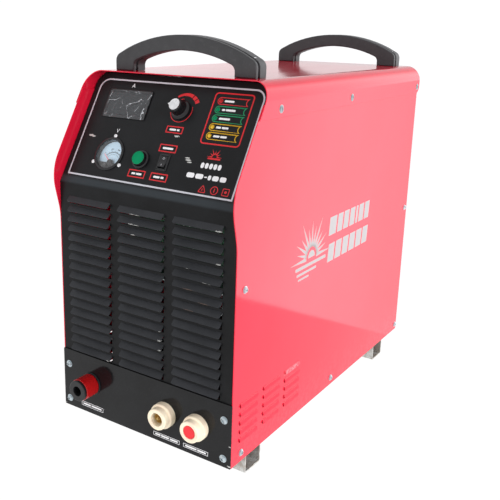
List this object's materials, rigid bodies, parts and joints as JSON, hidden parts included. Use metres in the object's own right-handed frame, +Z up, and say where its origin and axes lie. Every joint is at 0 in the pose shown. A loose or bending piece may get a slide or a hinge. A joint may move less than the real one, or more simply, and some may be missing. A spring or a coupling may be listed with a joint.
{
  "type": "plasma cutter unit",
  "caption": "Free-standing air plasma cutter unit: red steel case, louvered black front with a sloped control panel, front sockets, carry handles and channel feet.",
  "frame": {"origin": "centre of the bounding box's footprint, on the floor plane under the feet", "axes": "+Z up, front (louvers and sockets) towards -Y, the object's right-hand side seen from the rear, which is the viewer's right seen from the front, towards +X"},
  "size_m": [0.337, 0.72, 0.6348],
  "materials": {
    "red_paint": "glossy baked enamel",
    "black_paint": "glossy baked enamel",
    "zinc_steel": "bright zinc plate",
    "black_plastic": "satin moulded",
    "cream_nylon": "satin turned nylon",
    "red_plastic": "glossy moulded",
    "green_plastic": "glossy moulded",
    "yellow_plastic": "glossy moulded",
    "smoked_window": "smooth tinted window",
    "clear_plastic": "clear moulded lens",
    "dial_card": "printed card",
    "silver_trim": "spun and lacquered",
    "brass": "plain machined",
    "circuit_board": "solder resist",
    "fin_aluminium": "extruded",
    "winding_core": "varnished core and winding"
  },
  "bodies": {
    "case": {"front_foot_channel": "zinc_steel", "rear_foot_channel": "zinc_steel", "base_chassis": "zinc_steel", "left_side_panel": "red_paint", "right_side_panel": "red_paint", "top_hood": "red_paint", "front_panel": "black_paint", "connector_plate": "black_paint", "plate_screw_1": "zinc_steel", "plate_screw_2": "zinc_steel", "plate_screw_3": "zinc_steel", "plate_screw_4": "zinc_steel", "ground_socket_body": "black_plastic", "ground_socket_ring": "red_plastic", "ground_socket_contact": "brass", "torch_connector_body": "cream_nylon", "torch_connector_pin": "brass", "outlet_connector_body": "cream_nylon", "ammeter_case": "black_plastic", "ammeter_window": "smoked_window", "voltmeter_case": "black_plastic", "voltmeter_dial": "dial_card", "voltmeter_lens": "clear_plastic", "potentiometer_body": "zinc_steel", "air_test_switch": "black_plastic", "mode_switch_frame": "black_plastic", "power_lamp": "red_plastic", "air_pressure_lamp": "green_plastic", "cutting_lamp": "green_plastic", "overload_lamp": "yellow_plastic", "input_fault_lamp": "yellow_plastic", "indicator_board": "circuit_board", "front_handle": "black_plastic", "rear_handle": "black_plastic", "rear_panel": "black_paint", "mains_cable_gland": "black_plastic", "breaker_body": "black_plastic", "air_inlet_fitting": "brass", "ground_stud": "brass", "fan_frame": "black_plastic", "fan_guard": "zinc_steel", "component_shelf": "zinc_steel", "control_board": "circuit_board", "heatsink": "fin_aluminium", "power_board": "circuit_board", "bus_capacitor_1": "black_plastic", "bus_capacitor_2": "black_plastic", "main_transformer": "winding_core", "output_choke": "winding_core", "arc_start_unit": "winding_core", "solenoid_valve": "brass"},
    "knob": {"current_knob": "black_plastic", "knob_cap": "silver_trim", "potentiometer_shaft": "silver_trim"},
    "button": {"air_test_button": "green_plastic"},
    "rocker": {"mode_rocker": "black_plastic"},
    "needle": {"voltmeter_needle": "red_plastic"},
    "dust_cap": {"outlet_dust_cap": "red_plastic"},
    "toggle": {"breaker_toggle": "black_plastic"},
    "rotor": {"fan_rotor": "black_plastic"}
  },
  "joints": [
    {"name": "current_turn", "type": "hinge", "parent": "case", "child": "knob", "pos_m": [0.018, -0.2537, 0.52833], "axis": [0, -0.8581, 0.5135], "range_deg": [-225, 45]},
    {"name": "air_test_press", "type": "slide", "parent": "case", "child": "button", "axis": [0, 0.8581, -0.5135], "range_m": [0, 0.0035], "stiffness_N_per_m": 300},
    {"name": "mode_rock", "type": "hinge", "parent": "case", "child": "rocker", "pos_m": [0.018, -0.29607, 0.45754], "axis": [1, 0, 0], "range_deg": [0, 16]},
    {"name": "needle_swing", "type": "hinge", "parent": "case", "child": "needle", "pos_m": [-0.0821, -0.29849, 0.4457], "axis": [0, -0.8581, 0.5135], "range_deg": [-96, 0], "stiffness_Nm_per_rad": 0.001},
    {"name": "dust_cap_pull", "type": "slide", "parent": "case", "child": "dust_cap", "axis": [0, -1, 0], "range_m": [0, 0.014]},
    {"name": "breaker_throw", "type": "hinge", "parent": "case", "child": "toggle", "pos_m": [0.108, 0.3216, 0.175], "axis": [1, 0, 0], "range_deg": [0, 44]},
    {"name": "fan_spin", "type": "hinge", "parent": "case", "child": "rotor", "pos_m": [0, 0.2981, 0.39], "axis": [0, 1, 0], "continuous": true}
  ]
}
